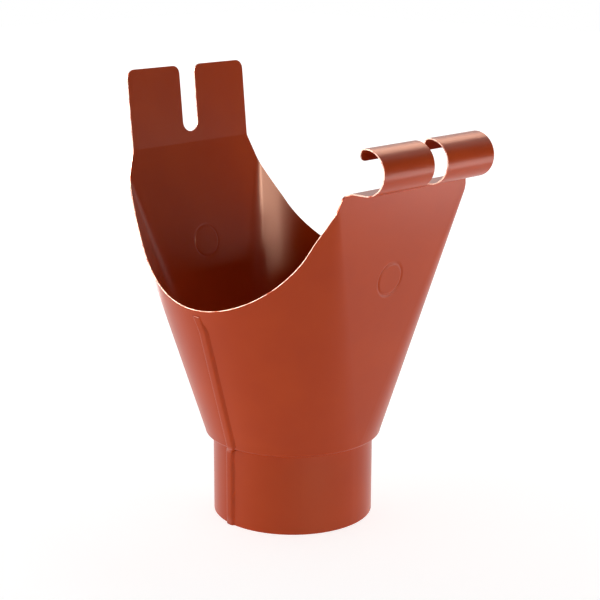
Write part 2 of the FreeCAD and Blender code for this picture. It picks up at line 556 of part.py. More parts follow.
def rear_edge():
    """Trims the rear fold: slanted flanks, the tab's rounded corners and its open slot."""
    sketch = sketch_on("YZ_Plane", "rear_outline")
    low, knee, crest, top = size("rear_flank_level"), size("tab_foot"), size("tab_top"), size("margin_top")
    flank, half, margin = size("rear_flank"), size("tab_half_width"), size("margin_width")
    radius, fillet, slant = size("tab_corner"), size("tab_fillet"), size("rear_slant")
    lean = 90 - slant
    tangent = fillet * math.tan(math.radians(lean / 2))
    bend_foot = half + fillet - fillet * math.cos(math.radians(lean))
    bend_foot_up = knee + tangent - fillet * math.sin(math.radians(lean))
    for side in (1, -1):
        corner_turn = (0, 90) if side > 0 else (90, 180)
        fillet_turn = (180, 180 + lean) if side > 0 else (360 - lean, 360)
        first, last = (START, END) if side > 0 else (END, START)
        corner = arc(sketch, (side * (half - radius), crest - radius), radius, *corner_turn)
        bend = arc(sketch, (side * (half + fillet), knee + tangent), fillet, *fillet_turn)
        rim = line(sketch, (side * margin, low), (side * flank, low))
        rise = line(sketch, (side * flank, low), (side * bend_foot, bend_foot_up))
        upright = line(sketch, (side * half, knee + tangent), (side * half, crest - radius))
        clear = line(sketch, (side * (half - radius), crest), (side * (half - radius), top))
        over = line(sketch, (side * (half - radius), top), (side * margin, top))
        outside = line(sketch, (side * margin, top), (side * margin, low))
        tie(sketch, "Tangent", rise, END, bend, last)
        tie(sketch, "Tangent", bend, first, upright, START)
        tie(sketch, "Tangent", upright, END, corner, first)
        tie(sketch, "Coincident", corner, last, clear, START)
        for before, after in ((rim, rise), (clear, over), (over, outside), (outside, rim)):
            tie(sketch, "Coincident", before, END, after, START)
        drive(sketch, "Radius", bend, by="tab_fillet")
        drive(sketch, "Radius", corner, by="tab_corner")
        place(sketch, rim, START, "margin_width", "rear_flank_level", side)
        place(sketch, rise, START, "rear_flank", "rear_flank_level", side)
        drive(sketch, "Angle", rise, by="rear_rise" if side < 0 else "rear_lean")
        place(sketch, upright, END, "tab_half_width", side=side)
        tie(sketch, "Vertical", corner, CENTRE, corner, last)
        tie(sketch, "Vertical", clear)
        place(sketch, clear, START, up="tab_top")
        place(sketch, clear, END, up="margin_top")
        tie(sketch, "Vertical", upright)
        place(sketch, outside, START, "margin_width", "margin_top", side)
    wide, foot, mouth = size("slot_radius"), size("slot_foot"), size("slot_corner")
    round_foot = arc(sketch, (0, foot + wide), wide, 180, 360)
    right = line(sketch, (wide, foot + wide), (wide, crest - mouth))
    right_mouth = arc(sketch, (wide + mouth, crest - mouth), mouth, 90, 180)
    right_rise = line(sketch, (wide + mouth, crest), (wide + mouth, top))
    over = line(sketch, (wide + mouth, top), (-wide - mouth, top))
    left_rise = line(sketch, (-wide - mouth, top), (-wide - mouth, crest))
    left_mouth = arc(sketch, (-wide - mouth, crest - mouth), mouth, 0, 90)
    left = line(sketch, (-wide, crest - mouth), (-wide, foot + wide))
    tie(sketch, "Tangent", round_foot, END, right, START)
    tie(sketch, "Tangent", right, END, right_mouth, END)
    tie(sketch, "Coincident", right_mouth, START, right_rise, START)
    tie(sketch, "Coincident", right_rise, END, over, START)
    tie(sketch, "Coincident", over, END, left_rise, START)
    tie(sketch, "Coincident", left_rise, END, left_mouth, END)
    tie(sketch, "Tangent", left_mouth, START, left, START)
    tie(sketch, "Tangent", left, END, round_foot, START)
    place(sketch, round_foot, CENTRE, up="slot_centre")
    tie(sketch, "PointOnObject", round_foot, CENTRE, Y_AXIS)
    drive(sketch, "Radius", round_foot, by="slot_radius")
    tie(sketch, "Vertical", left)
    for bend, rise, foot_end in ((right_mouth, right_rise, START), (left_mouth, left_rise, END)):
        drive(sketch, "Radius", bend, by="slot_corner")
        tie(sketch, "Vertical", bend, CENTRE, rise, foot_end)
        tie(sketch, "Vertical", rise)
    tie(sketch, "Vertical", right)
    place(sketch, right_rise, START, up="tab_top")
    place(sketch, left_rise, END, up="tab_top")
    place(sketch, over, START, up="margin_top")
    tie(sketch, "Horizontal", over)
    feature("Pocket", "rear_edge", sketch, Type="ThroughAll", Reversed=False)


def lip_corners():
    """Rounds the four corners of the straps' lips."""
    sketch = sketch_on("YZ_Plane", "lip_outline", "bead_reach")
    foot, radius, run = size("lip_foot"), size("lip_corner"), size("lip_overrun")
    for edge, inner, beyond, outward in (("strap_half_width", "strap_corner", "strap_beyond", 1),
                                         ("gap_half", "gap_corner", "gap_beyond", -1)):
        for side in (1, -1):
            end, back, past = (side * size(cell) for cell in (edge, inner, beyond))
            across = side * outward
            turn = (270, 360) if across > 0 else (180, 270)
            first, last = (START, END) if across > 0 else (END, START)
            corner = arc(sketch, (back, foot + radius), radius, *turn)
            down = line(sketch, (back, foot), (back, foot - run))
            under = line(sketch, (back, foot - run), (past, foot - run))
            beside = line(sketch, (past, foot - run), (past, foot + radius))
            over = line(sketch, (past, foot + radius), (end, foot + radius))
            tie(sketch, "Coincident", corner, first, down, START)
            for before, after in ((down, under), (under, beside), (beside, over)):
                tie(sketch, "Coincident", before, END, after, START)
            tie(sketch, "Coincident", over, END, corner, last)
            place(sketch, corner, CENTRE, inner, "lip_corner_level", side)
            drive(sketch, "Radius", corner, by="lip_corner")
            tie(sketch, "Vertical", corner, CENTRE, corner, first)
            tie(sketch, "Vertical", down)
            place(sketch, under, END, beyond, "lip_under", side)
            tie(sketch, "Horizontal", under)
            tie(sketch, "Vertical", beside)
            tie(sketch, "Horizontal", over)
            tie(sketch, "Horizontal", corner, CENTRE, corner, last)
    depth = "sizes.bead_reach - sizes.lip_reach + sizes.gauge"
    feature("Pocket", "lip_corners", sketch, depth, Type="Length", Reversed=False)


def seam():
    """The lock seam down one side: three layers of sheet, open on its left and smooth on its right. It
    starts at the spigot's edge, crosses the shoulder and is hammered flat just below the rim."""
    sections = []
    for name in SEAM_LEVELS:
        sketch = sketch_on("XY_Plane", f"seam_{name}", f"seam_{name}_level")
        outline(sketch, ((f"seam_{name}_place", f"seam_{name}_left_root", 1),
                         (f"seam_{name}_place", f"seam_{name}_left_crown", 1),
                         (f"seam_{name}_flat", f"seam_{name}_right_crown", 1),
                         (f"seam_{name}_end", f"seam_{name}_right_root", 1)))
        sections.append(sketch)
    feature("AdditiveLoft", "lock_seam", sections[0], Sections=sections[1:], Ruled=True)


funnel()
spigot()
seat()
front_fold()
rear_fold()
front_edge()
rear_edge()
lip_corners()
seam()

doc.recompute()
failed = [item.Name for item in doc.Objects if {"Invalid", "Error"} & set(item.State)]
if failed:
    raise RuntimeError(f"objects that didn't build: {failed}")
if body.Shape.isNull() or not body.Shape.isValid() or len(body.Shape.Solids) != 1:
    raise RuntimeError("the outlet isn't one valid solid")
os.makedirs("parts", exist_ok=True)
body.Shape.exportStep(f"parts/{body.Label}.step")
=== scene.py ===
import math

import bmesh
import bpy
from mathutils import Matrix, Vector


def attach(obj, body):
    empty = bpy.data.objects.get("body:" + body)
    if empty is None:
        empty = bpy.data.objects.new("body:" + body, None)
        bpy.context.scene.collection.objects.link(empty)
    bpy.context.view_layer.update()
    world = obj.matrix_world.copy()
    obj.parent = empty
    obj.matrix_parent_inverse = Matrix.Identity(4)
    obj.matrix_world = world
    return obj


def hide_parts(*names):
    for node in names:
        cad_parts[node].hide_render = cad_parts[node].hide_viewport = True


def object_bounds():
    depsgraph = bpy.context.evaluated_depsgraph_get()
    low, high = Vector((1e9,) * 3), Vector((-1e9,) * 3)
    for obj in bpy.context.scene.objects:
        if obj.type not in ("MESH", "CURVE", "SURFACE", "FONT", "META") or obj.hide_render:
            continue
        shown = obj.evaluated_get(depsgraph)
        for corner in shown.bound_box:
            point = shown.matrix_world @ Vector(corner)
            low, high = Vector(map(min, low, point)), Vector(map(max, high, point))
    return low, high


# The looks of the gutter outlet: one painted sheet with its bends, cut edges, lock seam and a pressed
# ring on each flat panel. Sizes are in millimetres and angles in degrees, and turn into metres where a
# mesh is finished. The frame's origin is the middle of the spigot's foot, +Z is up and +X points to the
# two straps that hook round the gutter's bead.

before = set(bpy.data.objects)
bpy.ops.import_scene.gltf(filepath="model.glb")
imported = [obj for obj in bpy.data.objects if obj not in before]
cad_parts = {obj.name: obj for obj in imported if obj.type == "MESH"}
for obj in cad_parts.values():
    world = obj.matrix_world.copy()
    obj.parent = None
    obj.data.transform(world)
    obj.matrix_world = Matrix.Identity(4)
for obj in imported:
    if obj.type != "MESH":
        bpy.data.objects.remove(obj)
cad_low, cad_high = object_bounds()

MM = 0.001

# The sheet.
GAUGE = 0.65
EDGE_ROUND = 0.2

# The spigot and the shoulder above it.
SPIGOT_RADIUS = 43.5
SPIGOT_LENGTH = 44.2
SPIGOT_NECK = 0.8
SHOULDER_RADIUS = 48.0
SHOULDER_BEND = 1.9
FUNNEL_LEVEL = 46.6
LEDGE_EASE = 0.4
LEDGE_DROP = 0.04

# The funnel: two flat panels, four creases and two round sides.
THROAT_LEVEL = 184.8
PANEL_REACH = 76.5
SIDE_REACH = 91.6
CREASE_BEND = 6.0
PANEL_FOOT_TURN = 1.5
PANEL_CROWN = 0.25

# The rim that follows the gutter's underside.
SEAT_RADIUS = 73.7
SEAT_LEVEL = 199.0
SEAT_TURN = 23.0
SEAT_MARGIN = 1.6

# The front edge and the two straps.
EDGE_LEVEL = 189.5
EDGE_HALF_WIDTH = 47.3
EDGE_CORNER = 3.0
FRONT_FLANK_LEVEL = 165.0
FRONT_FLANK = 55.0
STRAP_LEVEL = 190.0
STRAP_BEND = 1.5
STRAP_HALF_WIDTH = 42.5
STRAP_GAP_HALF = 5.2
BEAD_REACH = 87.0
BEAD_RADIUS = 11.5
LIP_REACH = 83.2
LIP_BEND = 3.0
LIP_DROP = 3.4
LIP_CORNER = 3.2

# The rear edge and the tab.
REAR_FLANK_LEVEL = 148.0
REAR_FLANK = 59.9
REAR_KNEE_LEVEL = 178.8
REAR_KNEE = 49.3
REAR_MEET_LEVEL = 161.0
REAR_SEAT_EASE = 0.15
SEAT_EASE_LEVEL = 128.0
# Radius of the thin pale line along the near rim, a painted highlight of the rim's edge.
HIGHLIGHT_LINE_RADIUS = 0.34
TAB_FOOT = 194.4
TAB_TOP = cad_high.z / MM
TAB_LEAN = 5.2
TAB_HALF_WIDTH = 43.1
TAB_CORNER = 5.0
TAB_FILLET = 9.0
TAB_FILLET_TURN = 21.2
SLOT_HALF_WIDTH = 5.6
SLOT_CENTRE = 206.3
SLOT_MOUTH = 4.5

# The lock seam on the -Y side: how far it stands out, and its place along X at a few levels.
SEAM_PROUD = 1.3
SEAM_END_PROUD = 0.3
SEAM_SPIGOT_PLACE = -7.3
SEAM_LOW_PLACE = -1.6
SEAM_HIGH_PLACE = 0.8
SEAM_END_PLACE = -1.6
SEAM_HIGH_LEVEL = 113.0
SEAM_END_LEVEL = 122.0
SEAM_BEND_FOOT = 40.5
SEAM_WALL_FOOT = 47.5
SEAM_CROWN = SPIGOT_RADIUS + SEAM_PROUD

# The seam's bend over the shoulder, as four (radius, level) points of a smooth curve each for the middle
# of the wall and for the seam's crown.
SEAM_BEND_ROOTS = ((43.2, 41.5), (43.2, 45.0), (47.4, 44.6), (48.0, SEAM_WALL_FOOT))
SEAM_BEND_CROWNS = ((SEAM_CROWN, SEAM_BEND_FOOT), (SEAM_CROWN, 43.2), (48.4, 43.4), (49.6, 47.1))

# The plain ring pressed into each panel.
RING_RADIUS = 8.8
RING_HALF_WIDTH = 1.1
RING_DEPTH = 0.42
RING_LEVEL = 140.0
RING_ROOM = 13.0
RING_CUTS = 7

# Colours of the finishes, as linear light.
PAINT_LIGHT = (0.43, 0.045, 0.0006)
PAINT_DARK = (0.385, 0.036, 0.0004)
# The pale cut edge. The same tone also paints the highlight along the near rim.
EDGE_AND_HIGHLIGHT_COLOUR = (1.0, 0.70, 0.58)

# The studio: the floor's glow, the room's plain light and the tints of its strips.
FLOOR_GLOW = 0.76
ROOM_LIGHT = 0.9
WARM = (1.0, 0.6, 0.42)
PALE = (1.0, 0.85, 0.75)

# The camera, as fitted to the photograph: place in millimetres, angles, and focal length in its pixels.
CAMERA_PLACE = (553.252, -584.36, 321.505)
CAMERA_AZIMUTH = 43.167
CAMERA_ELEVATION = 14.243
CAMERA_ROLL = 0.17
FOCAL_PIXELS = 1543.676
PHOTO_WIDTH = 600
SENSOR_WIDTH = 36

PANEL_SLOPE = (PANEL_REACH - SHOULDER_RADIUS) / (THROAT_LEVEL - FUNNEL_LEVEL)
SIDE_SLOPE = (SIDE_REACH - SHOULDER_RADIUS) / (THROAT_LEVEL - FUNNEL_LEVEL)
CREASE_ACROSS = PANEL_REACH - CREASE_BEND
PANEL_HALF_WIDTH = math.sqrt((SIDE_REACH - CREASE_BEND) ** 2 - CREASE_ACROSS ** 2)
FAN_TURN = math.degrees(math.atan2(PANEL_HALF_WIDTH, CREASE_ACROSS))
PANEL_STRETCH = math.hypot(1, PANEL_SLOPE)
PANEL_LEAN = math.degrees(math.atan(PANEL_SLOPE))


def polar(radius, turn):
    """The two distances of a point at a radius and a turn in degrees."""
    return radius * math.cos(math.radians(turn)), radius * math.sin(math.radians(turn))


def steps(first, last, count):
    """Evenly spaced values from first to last, both included."""
    return [first + (last - first) * step / count for step in range(count + 1)]


def mix(first, last, share):
    """A value, or a point, part of the way from first to last."""
    return first + (last - first) * share


# Outlines of the cut edges, seen along Y or along X.


def seat_half_width(level):
    """Half the width of the gutter's trough at a level, where the sides are cut away."""
    turn_reach, turn_drop = polar(SEAT_RADIUS, SEAT_TURN)
    turn_level = SEAT_LEVEL - turn_drop
    if level <= turn_level:
        return math.sqrt(max(SEAT_RADIUS ** 2 - (SEAT_LEVEL - level) ** 2, 0))
    share = (level - turn_level) / (THROAT_LEVEL + GAUGE - turn_level)
    return mix(turn_reach, PANEL_REACH - SEAT_MARGIN, share)


def front_flank(level):
    """Half width of the front between its slanted flanks."""
    share = (level - FRONT_FLANK_LEVEL) / (EDGE_LEVEL - FRONT_FLANK_LEVEL)
    return mix(FRONT_FLANK, EDGE_HALF_WIDTH, share)


def rear_flank(level):
    """Half width of the rear between its slanted flanks."""
    if level < REAR_KNEE_LEVEL:
        share = (level - REAR_FLANK_LEVEL) / (REAR_KNEE_LEVEL - REAR_FLANK_LEVEL)
        return mix(REAR_FLANK, REAR_KNEE, share)
    share = (level - REAR_KNEE_LEVEL) / (TAB_FOOT - REAR_KNEE_LEVEL)
    return mix(REAR_KNEE, TAB_HALF_WIDTH, share)


def is_cut(point, facing):
    """Whether a point of the funnel's wall lies in what is cut away."""
    across, along, level = point
    seat = seat_half_width(level) - (REAR_SEAT_EASE if facing < 0 and level > SEAT_EASE_LEVEL else 0)
    if abs(across) < seat and level > SEAT_LEVEL - SEAT_RADIUS:
        return True
    flank_level = FRONT_FLANK_LEVEL if facing > 0 else REAR_FLANK_LEVEL
    flank = front_flank if facing > 0 else rear_flank
    return level > flank_level and abs(along) > flank(level)


# The funnel's wall. A column is one straight line of it, from the shoulder up.


def column_of_side(turn):
    """Foot and throat of the wall's line on a round side."""
    return (Vector((*polar(SHOULDER_RADIUS, turn), FUNNEL_LEVEL)),
            Vector((*polar(SIDE_REACH, turn), THROAT_LEVEL)))


def column_of_crease(share, facing, side):
    """Foot and throat of the wall's line on a crease, from the panel's edge (0) to the side (1)."""
    across, along = polar(CREASE_BEND, FAN_TURN * share)
    foot_across, foot_along = polar(SHOULDER_RADIUS, mix(PANEL_FOOT_TURN, FAN_TURN, share))
    foot = Vector((facing * foot_across, side * foot_along, FUNNEL_LEVEL))
    throat = Vector((facing * (CREASE_ACROSS + across), side * (PANEL_HALF_WIDTH + along), THROAT_LEVEL))
    return foot, throat


def column_of_panel(along, facing):
    """Foot and throat of the wall's line on a panel that reaches the throat at a distance along Y."""
    foot_turn = PANEL_FOOT_TURN * along / PANEL_HALF_WIDTH
    foot_across, foot_along = polar(SHOULDER_RADIUS, foot_turn)
    return (Vector((facing * foot_across, foot_along, FUNNEL_LEVEL)),
            Vector((facing * PANEL_REACH, along, THROAT_LEVEL)))


def top_share(foot, throat, facing):
    """How far up a wall's line, as a share of it, the sheet reaches before it is cut."""
    low, high = 0.0, 1.0
    if not is_cut(throat, facing):
        return high
    for _ in range(40):
        middle = (low + high) / 2
        if is_cut(foot.lerp(throat, middle), facing):
            high = middle
        else:
            low = middle
    return low


# The front fold, as its outer skin seen along Y.

HINGE = (PANEL_REACH + PANEL_SLOPE * (STRAP_LEVEL - STRAP_BEND - THROAT_LEVEL) + STRAP_BEND * PANEL_STRETCH,
         STRAP_LEVEL - STRAP_BEND)
HOOK_CENTRE = (BEAD_REACH, STRAP_LEVEL + BEAD_RADIUS)
LIP_ACROSS = LIP_REACH + LIP_BEND
LIP_UP = HOOK_CENTRE[1] + math.sqrt((BEAD_RADIUS - LIP_BEND) ** 2 - (BEAD_REACH - LIP_ACROSS) ** 2)
HOOK_END = math.degrees(math.atan2(LIP_UP - HOOK_CENTRE[1], LIP_ACROSS - HOOK_CENTRE[0]))
BEND_START = 180 - PANEL_LEAN
EDGE_TURN = 180 - math.degrees(math.asin((EDGE_LEVEL - HINGE[1]) / STRAP_BEND))


def round_point(centre, radius, turn):
    """A point (across, up) on a bend."""
    across, up = polar(radius, turn)
    return centre[0] + across, centre[1] + up


def strap_stations():
    """The strap's outer skin from the front edge, over the flat and round the bead, to where its lip
    starts to drop."""
    return ([round_point(HINGE, STRAP_BEND, turn) for turn in steps(EDGE_TURN, 90, 5)]
            + [(across, STRAP_LEVEL) for across in steps(HINGE[0], BEAD_REACH, 4)[1:]]
            + [round_point(HOOK_CENTRE, BEAD_RADIUS, turn) for turn in steps(270, 360 + HOOK_END, 44)[1:]]
            + [round_point((LIP_ACROSS, LIP_UP), LIP_BEND, turn) for turn in steps(HOOK_END, 180, 10)[1:]])


def corner_columns(inner, outer, first_radius, last_radius, middle, turns=7):
    """Distances along Y from inner to outer, closer together over rounded corners at either end."""
    first = [inner + first_radius * (1 - math.cos(math.radians(turn))) for turn in steps(0, 90, turns)]
    last = [outer - last_radius * (1 - math.sin(math.radians(turn))) for turn in steps(0, 90, turns)]
    between = steps(first[-1], last[0], middle)
    return first[:-1] + between + last[1:]


def corner_drop(distance, radius):
    """How much a corner's round takes off the height, at a distance in from its side."""
    if distance >= radius:
        return 0.0
    return radius - math.sqrt(max(radius ** 2 - (radius - distance) ** 2, 0))


def lay_sheet(bm, columns, rows, place):
    """Lays a grid of the sheet into the mesh, each of its crossings where place(column, row) says."""
    made = bmesh.ops.create_grid(bm, x_segments=columns, y_segments=rows, size=0.5)
    for vert in made["verts"]:
        column = round((vert.co.x + 0.5) * columns)
        row = round((vert.co.y + 0.5) * rows)
        vert.co = place(column, row)
    return made["verts"]


def front_top(along):
    """Height of the front edge at a distance along Y, above the throat."""
    slant = math.degrees(math.atan2(EDGE_LEVEL - FRONT_FLANK_LEVEL, FRONT_FLANK - EDGE_HALF_WIDTH))
    corner = EDGE_HALF_WIDTH - EDGE_CORNER * math.tan(math.radians(slant / 2))
    beyond = abs(along) - corner
    if beyond <= 0:
        return EDGE_LEVEL
    if beyond < EDGE_CORNER * math.sin(math.radians(slant)):
        return EDGE_LEVEL - EDGE_CORNER + math.sqrt(EDGE_CORNER ** 2 - beyond ** 2)
    share = (FRONT_FLANK - abs(along)) / (FRONT_FLANK - EDGE_HALF_WIDTH)
    return mix(FRONT_FLANK_LEVEL, EDGE_LEVEL, share)


def rear_top(along):
    """Height of the rear edge at a distance along Y, beside the tab."""
    lean = math.degrees(math.atan2(REAR_KNEE - TAB_HALF_WIDTH, TAB_FOOT - REAR_KNEE_LEVEL))
    fillet_level = TAB_FOOT + TAB_FILLET * math.tan(math.radians(lean / 2))
    beyond = abs(along) - TAB_HALF_WIDTH
    if beyond <= 0:
        return fillet_level
    if beyond < TAB_FILLET * (1 - math.cos(math.radians(lean))):
        return fillet_level - math.sqrt(TAB_FILLET ** 2 - (TAB_FILLET - beyond) ** 2)
    share = (REAR_KNEE - abs(along)) / (REAR_KNEE - TAB_HALF_WIDTH)
    return mix(REAR_KNEE_LEVEL, TAB_FOOT, share)


def front_skin(level):
    """How far out the front panel stands at a level, its first bend included."""
    if level <= HINGE[1] + STRAP_BEND * math.sin(math.radians(BEND_START)):
        return PANEL_REACH + PANEL_SLOPE * (level - THROAT_LEVEL)
    turn = 180 - math.degrees(math.asin(min((level - HINGE[1]) / STRAP_BEND, 1)))
    return HINGE[0] + STRAP_BEND * math.cos(math.radians(turn))


def rear_skin(level):
    """How far out the rear panel or the tab stands at a level."""
    knee = PANEL_REACH + PANEL_SLOPE * (TAB_FOOT - THROAT_LEVEL)
    if level <= TAB_FOOT:
        return PANEL_REACH + PANEL_SLOPE * (level - THROAT_LEVEL)
    return knee + math.tan(math.radians(TAB_LEAN)) * (level - TAB_FOOT)


WALL_ROWS = 40
FOLD_ROWS = 3
FRONT_BEND_LEVEL = HINGE[1] + STRAP_BEND * math.sin(math.radians(BEND_START))


def panel_levels(top, knee):
    """Levels of a panel's crossings: evenly up to the knee, then a few more to the top."""
    lower = steps(FUNNEL_LEVEL, min(knee, top), WALL_ROWS)
    upper = [min(knee, top) + max(top - knee, 0) * row / FOLD_ROWS for row in range(1, FOLD_ROWS + 1)]
    return lower + upper


def panel_column(along, facing):
    """The crossings of one line of a panel, from the shoulder to its free edge or the tab's foot."""
    foot, throat = column_of_panel(along, facing)
    skin, knee = (front_skin, FRONT_BEND_LEVEL) if facing > 0 else (rear_skin, TAB_FOOT)
    share = top_share(foot, throat, facing)
    top = mix(FUNNEL_LEVEL, THROAT_LEVEL, share)
    if share == 1.0:
        top = front_top(along) if facing > 0 else rear_top(along)
    points = []
    for level in panel_levels(top, knee):
        rise = min((level - FUNNEL_LEVEL) / (THROAT_LEVEL - FUNNEL_LEVEL), 1)
        flat_at = mix(foot.y, throat.y, rise)
        crown = PANEL_CROWN * math.sin(math.pi * rise) * (1 - (along / PANEL_HALF_WIDTH) ** 2)
        reach = skin(level) if level > FUNNEL_LEVEL else abs(foot.x)
        points.append(Vector((facing * (reach + crown), flat_at, level)))
    return points


def wall_column(foot, throat, facing):
    """The crossings of one line of a crease or a side, from the shoulder to the rim."""
    top = top_share(foot, throat, facing)
    points = [foot.lerp(throat, share) for share in steps(0, top, WALL_ROWS)]
    return points + points[-1:] * FOLD_ROWS


def strap_columns():
    """Distances along Y of a strap's lines."""
    return corner_columns(STRAP_GAP_HALF, STRAP_HALF_WIDTH, LIP_CORNER, LIP_CORNER, 9)


def front_columns():
    """Distances along Y of the front panel's lines, from -Y to +Y."""
    outer = [44.0, 45.1, 46.0, 46.7, 47.2, 47.6, 47.96, PANEL_HALF_WIDTH]
    half = [0.0, 1.8, 3.6] + strap_columns() + outer
    return [-along for along in reversed(half[1:])] + half


def tab_columns():
    """Distances along Y of the tab's lines, from the slot outwards."""
    return corner_columns(SLOT_HALF_WIDTH, TAB_HALF_WIDTH, SLOT_MOUTH, TAB_CORNER, 9)


def slot_columns():
    """Distances along Y over the slot's round foot, from the middle outwards."""
    return [SLOT_HALF_WIDTH * math.sin(math.radians(turn)) for turn in steps(0, 90, 8)]


def rear_columns():
    """Distances along Y of the rear panel's lines, from -Y to +Y."""
    fillet = [TAB_HALF_WIDTH + TAB_FILLET * (1 - math.cos(math.radians(turn)))
              for turn in steps(0, TAB_FILLET_TURN, 5)[1:]]
    outer = fillet + [44.6, 45.6, 46.6, 47.6, PANEL_HALF_WIDTH]
    half = slot_columns()[:-1] + tab_columns() + outer
    return [-along for along in reversed(half[1:])] + half


def side_turns():
    """Turns of a side's lines, from crease to crease, with one where the flank leaves the rim."""
    turns = steps(FAN_TURN, 180 - FAN_TURN, 56)
    for level, mirrored in ((FRONT_FLANK_LEVEL, False), (REAR_MEET_LEVEL, True)):
        radius = SHOULDER_RADIUS + SIDE_SLOPE * (level - FUNNEL_LEVEL)
        turn = math.degrees(math.acos(seat_half_width(level) / radius))
        turns.append(180 - turn if mirrored else turn)
    return sorted(turns)


def side_columns(side):
    """The lines of one round side and its two creases, from the front to the rear on the +Y side and
    back on the -Y side."""
    creases = steps(0, 1, 12)[1:-1]
    lines = [(column_of_crease(share, 1, side), 1) for share in creases]
    for turn in side_turns():
        foot, throat = column_of_side(side * turn)
        lines.append(((foot, throat), 1 if foot.x > 0 else -1))
    lines += [(column_of_crease(share, -1, side), -1) for share in reversed(creases)]
    columns = [wall_column(foot, throat, facing) for (foot, throat), facing in lines]
    return columns if side > 0 else columns[::-1]


def round_the_funnel():
    """Every line of the funnel's wall, anticlockwise seen from above, beginning on the front panel."""
    front = [panel_column(along, 1) for along in front_columns()]
    rear = [panel_column(along, -1) for along in rear_columns()]
    return front + side_columns(1) + rear[::-1] + side_columns(-1)


def spigot_stations():
    """The spigot's outer skin from the funnel's foot down: the shoulder's bend, the ledge, the neck and
    the wall, as (radius, level)."""
    across = SHOULDER_RADIUS - SHOULDER_BEND
    bend = [round_point((across, FUNNEL_LEVEL), SHOULDER_BEND, turn) for turn in steps(-12, -88, 7)]
    ledge = [(across - LEDGE_EASE, FUNNEL_LEVEL - SHOULDER_BEND - LEDGE_DROP)]
    neck = [(SPIGOT_RADIUS + SPIGOT_NECK * (1 - math.sin(math.radians(turn))),
             SPIGOT_LENGTH - SPIGOT_NECK * (1 - math.cos(math.radians(turn))))
            for turn in steps(10, 90, 5)]
    wall = [(SPIGOT_RADIUS, level) for level in steps(SPIGOT_LENGTH - SPIGOT_NECK, 0, 8)[1:]]
    return [(SHOULDER_RADIUS, FUNNEL_LEVEL)] + bend + ledge + neck + wall


def lay_funnel(bm):
    """The funnel with its panels up to the front edge and the tab's foot."""
    columns = round_the_funnel()
    lay_sheet(bm, len(columns), WALL_ROWS + FOLD_ROWS,
              lambda column, row: columns[column % len(columns)][row])
    return [math.atan2(points[0].y, points[0].x) for points in columns]


def lay_spigot(bm, turns):
    """The shoulder and the spigot, below the funnel's own lines."""
    stations = spigot_stations()[::-1]

    def place(column, row):
        radius, level = stations[row]
        turn = turns[column % len(turns)]
        return radius * math.cos(turn), radius * math.sin(turn), level

    lay_sheet(bm, len(turns), len(stations) - 1, place)


def lay_straps(bm):
    """The two straps, from the front edge round the bead to their lips."""
    stations = strap_stations()
    drops = 4
    distances = strap_columns()
    for side in (1, -1):
        lines = distances if side > 0 else [-along for along in reversed(distances)]

        def place(column, row):
            along = lines[column]
            inset = min(abs(along) - STRAP_GAP_HALF, STRAP_HALF_WIDTH - abs(along))
            if row < len(stations):
                across, up = stations[row]
                return across, along, up
            share = (row - len(stations) + 1) / drops
            fall = (LIP_DROP - corner_drop(inset, LIP_CORNER)) * share
            return LIP_REACH, along, LIP_UP - fall

        lay_sheet(bm, len(lines) - 1, len(stations) - 1 + drops, place)


def lay_tab(bm):
    """The tab above the rear panel, up to the slot's round foot and then either side of the slot."""
    foot = rear_top(0)
    middle = slot_columns()
    outer = tab_columns()
    half = middle[:-1] + outer
    lines = [-along for along in reversed(half[1:])] + half

    def low_place(column, row):
        along = lines[column]
        top = SLOT_CENTRE
        if abs(along) < SLOT_HALF_WIDTH:
            top = SLOT_CENTRE - math.sqrt(SLOT_HALF_WIDTH ** 2 - along ** 2)
        level = mix(foot, top, row / 4)
        return -rear_skin(level), -along, level

    lay_sheet(bm, len(lines) - 1, 4, low_place)
    for side in (1, -1):
        tongue = outer if side > 0 else [-along for along in reversed(outer)]

        def high_place(column, row):
            along = tongue[column]
            drop = max(corner_drop(abs(along) - SLOT_HALF_WIDTH, SLOT_MOUTH),
                       corner_drop(TAB_HALF_WIDTH - abs(along), TAB_CORNER))
            level = mix(SLOT_CENTRE, TAB_TOP - drop, row / 10)
            return -rear_skin(level), -along, level

        lay_sheet(bm, len(tongue) - 1, 10, high_place)


def press_ring(bm, facing):
    """Presses a plain ring into a panel, away from the straps, after cutting the sheet finer there."""
    centre = Vector((facing * (PANEL_REACH + PANEL_SLOPE * (RING_LEVEL - THROAT_LEVEL)), 0, RING_LEVEL))
    near = [face for face in bm.faces
            if all(abs(vert.co.x - centre.x) < RING_ROOM and (vert.co - centre).length < RING_ROOM
                   for vert in face.verts)]
    edges = list({edge for face in near for edge in face.edges})
    bmesh.ops.subdivide_edges(bm, edges=edges, cuts=RING_CUTS, use_grid_fill=True)
    for vert in bm.verts:
        away = vert.co - centre
        if away.length > RING_ROOM:
            continue
        off_line = abs(math.hypot(away.y, away.z * PANEL_STRETCH) - RING_RADIUS)
        if off_line < RING_HALF_WIDTH:
            vert.co.x -= RING_DEPTH * (1 + math.cos(math.pi * off_line / RING_HALF_WIDTH)) / 2


